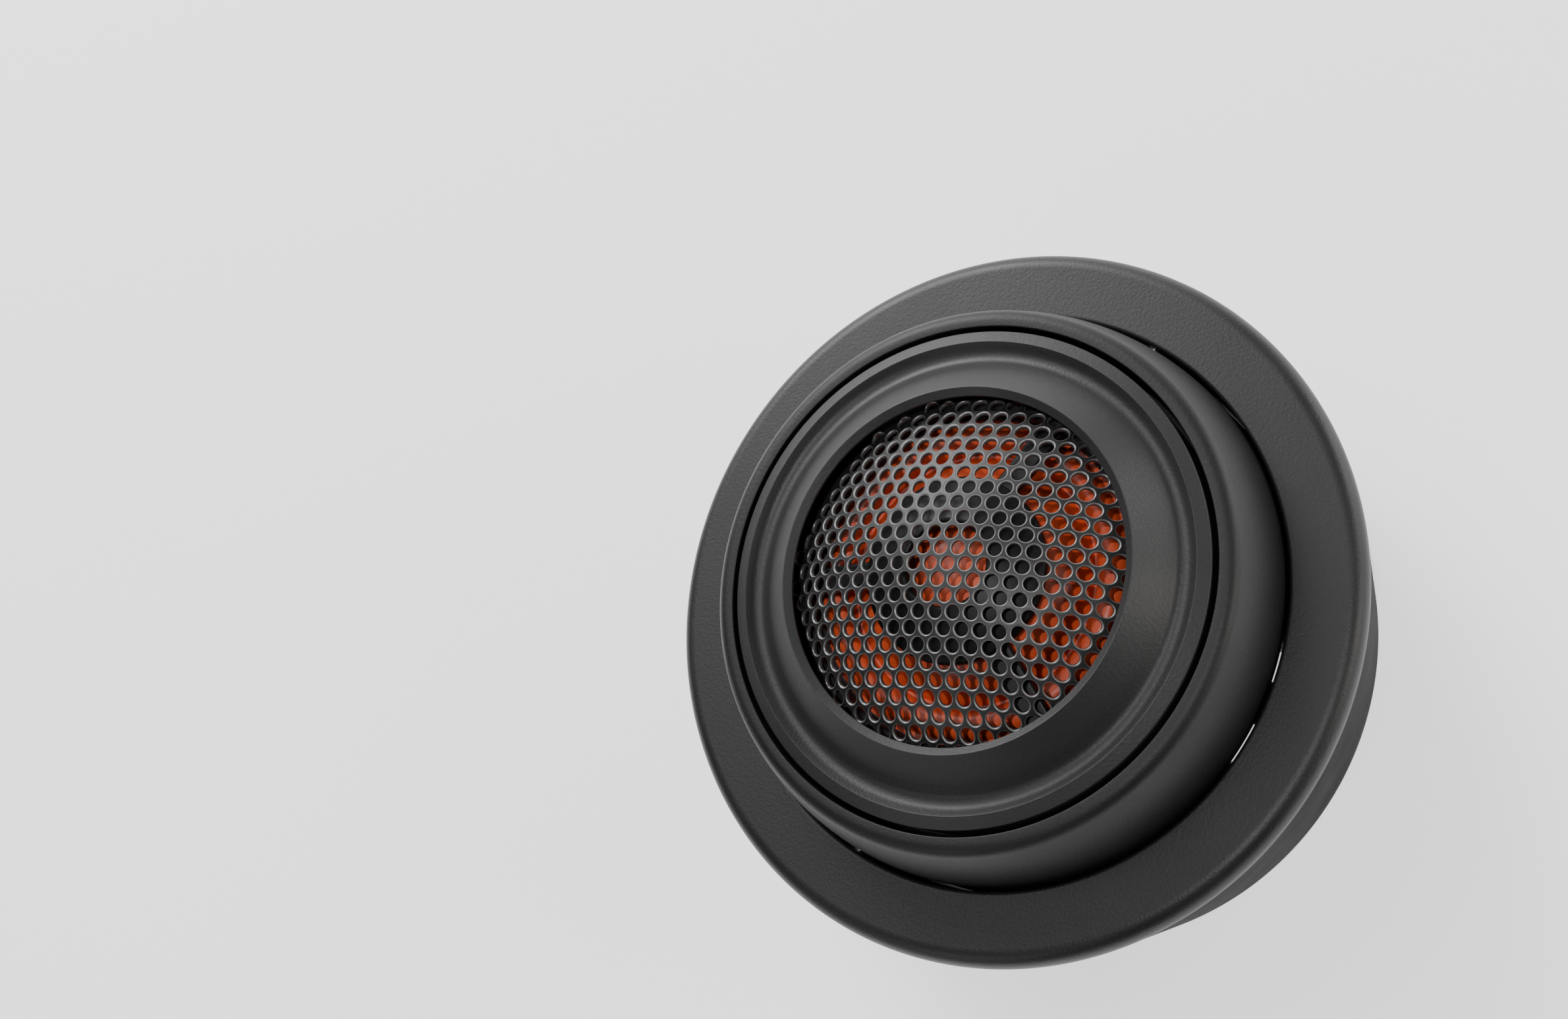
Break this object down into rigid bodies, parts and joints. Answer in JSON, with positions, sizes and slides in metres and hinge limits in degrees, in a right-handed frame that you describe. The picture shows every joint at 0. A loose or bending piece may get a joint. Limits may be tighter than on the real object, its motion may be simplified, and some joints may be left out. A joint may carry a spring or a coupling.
{
  "type": "car tweeter",
  "caption": "Round surface-mount car tweeter: a dome drive unit behind a domed grille, in a ball cup that turns and tilts in its pod.",
  "frame": {"origin": "centre of the flat back face that rests on the panel", "axes": "+Z out of the panel, along the pod axis towards the listener; +X along the tilt axis of the head"},
  "size_m": [0.058, 0.058, 0.0336],
  "materials": {
    "pod_plastic": "fine grain",
    "trim_plastic": "fine grain",
    "foam": "matte",
    "washer_plastic": "matte",
    "spring_steel": "bright",
    "inner_plastic": "matte",
    "cup_plastic": "fine grain",
    "bezel_plastic": "fine grain",
    "grille_metal": "satin",
    "phase_plastic": "gloss",
    "dome_film": "gloss",
    "plated_steel": "satin",
    "magnet_nickel": "bright",
    "felt": "matte",
    "black_screw": "satin",
    "board": "matte",
    "terminal_brass": "bright",
    "wire_insulation": "matte",
    "former_film": "gloss",
    "coil_copper": "bright"
  },
  "bodies": {
    "pod": {"base_shell": "pod_plastic", "front_trim": "trim_plastic", "mounting_gasket": "foam", "friction_washer": "washer_plastic", "wave_spring": "spring_steel"},
    "swivel": {"swivel_ring": "inner_plastic"},
    "head": {"ball_cup": "cup_plastic", "trunnion_pins": "spring_steel", "bezel": "bezel_plastic", "grille_mesh": "grille_metal", "phase_plate": "phase_plastic", "diaphragm_gasket": "foam", "surround": "dome_film", "diaphragm_ring": "inner_plastic", "frame": "inner_plastic", "yoke_cup": "plated_steel", "magnet": "magnet_nickel", "pole_plate": "plated_steel", "pole_felt": "felt", "rear_chamber": "inner_plastic", "rear_felt": "felt", "capsule_screws": "black_screw", "terminal_board": "board", "terminal_positive": "terminal_brass", "terminal_negative": "terminal_brass", "terminal_rivets": "terminal_brass", "lead_wires": "wire_insulation"},
    "diaphragm": {"dome": "dome_film", "coil_former": "former_film", "voice_coil": "coil_copper"}
  },
  "joints": [
    {"name": "swivel_turn", "type": "hinge", "parent": "pod", "child": "swivel", "pos_m": [0, 0, 0.0194], "axis": [0, 0, 1], "continuous": true},
    {"name": "head_tilt", "type": "hinge", "parent": "swivel", "child": "head", "pos_m": [0, 0, 0.0194], "axis": [1, 0, 0], "range_deg": [-15, 15]},
    {"name": "dome_travel", "type": "slide", "parent": "head", "child": "diaphragm", "axis": [0, 0, 1], "range_m": [-0.0003, 0.0003], "stiffness_N_per_m": 1000, "deforming": ["surround"]}
  ]
}
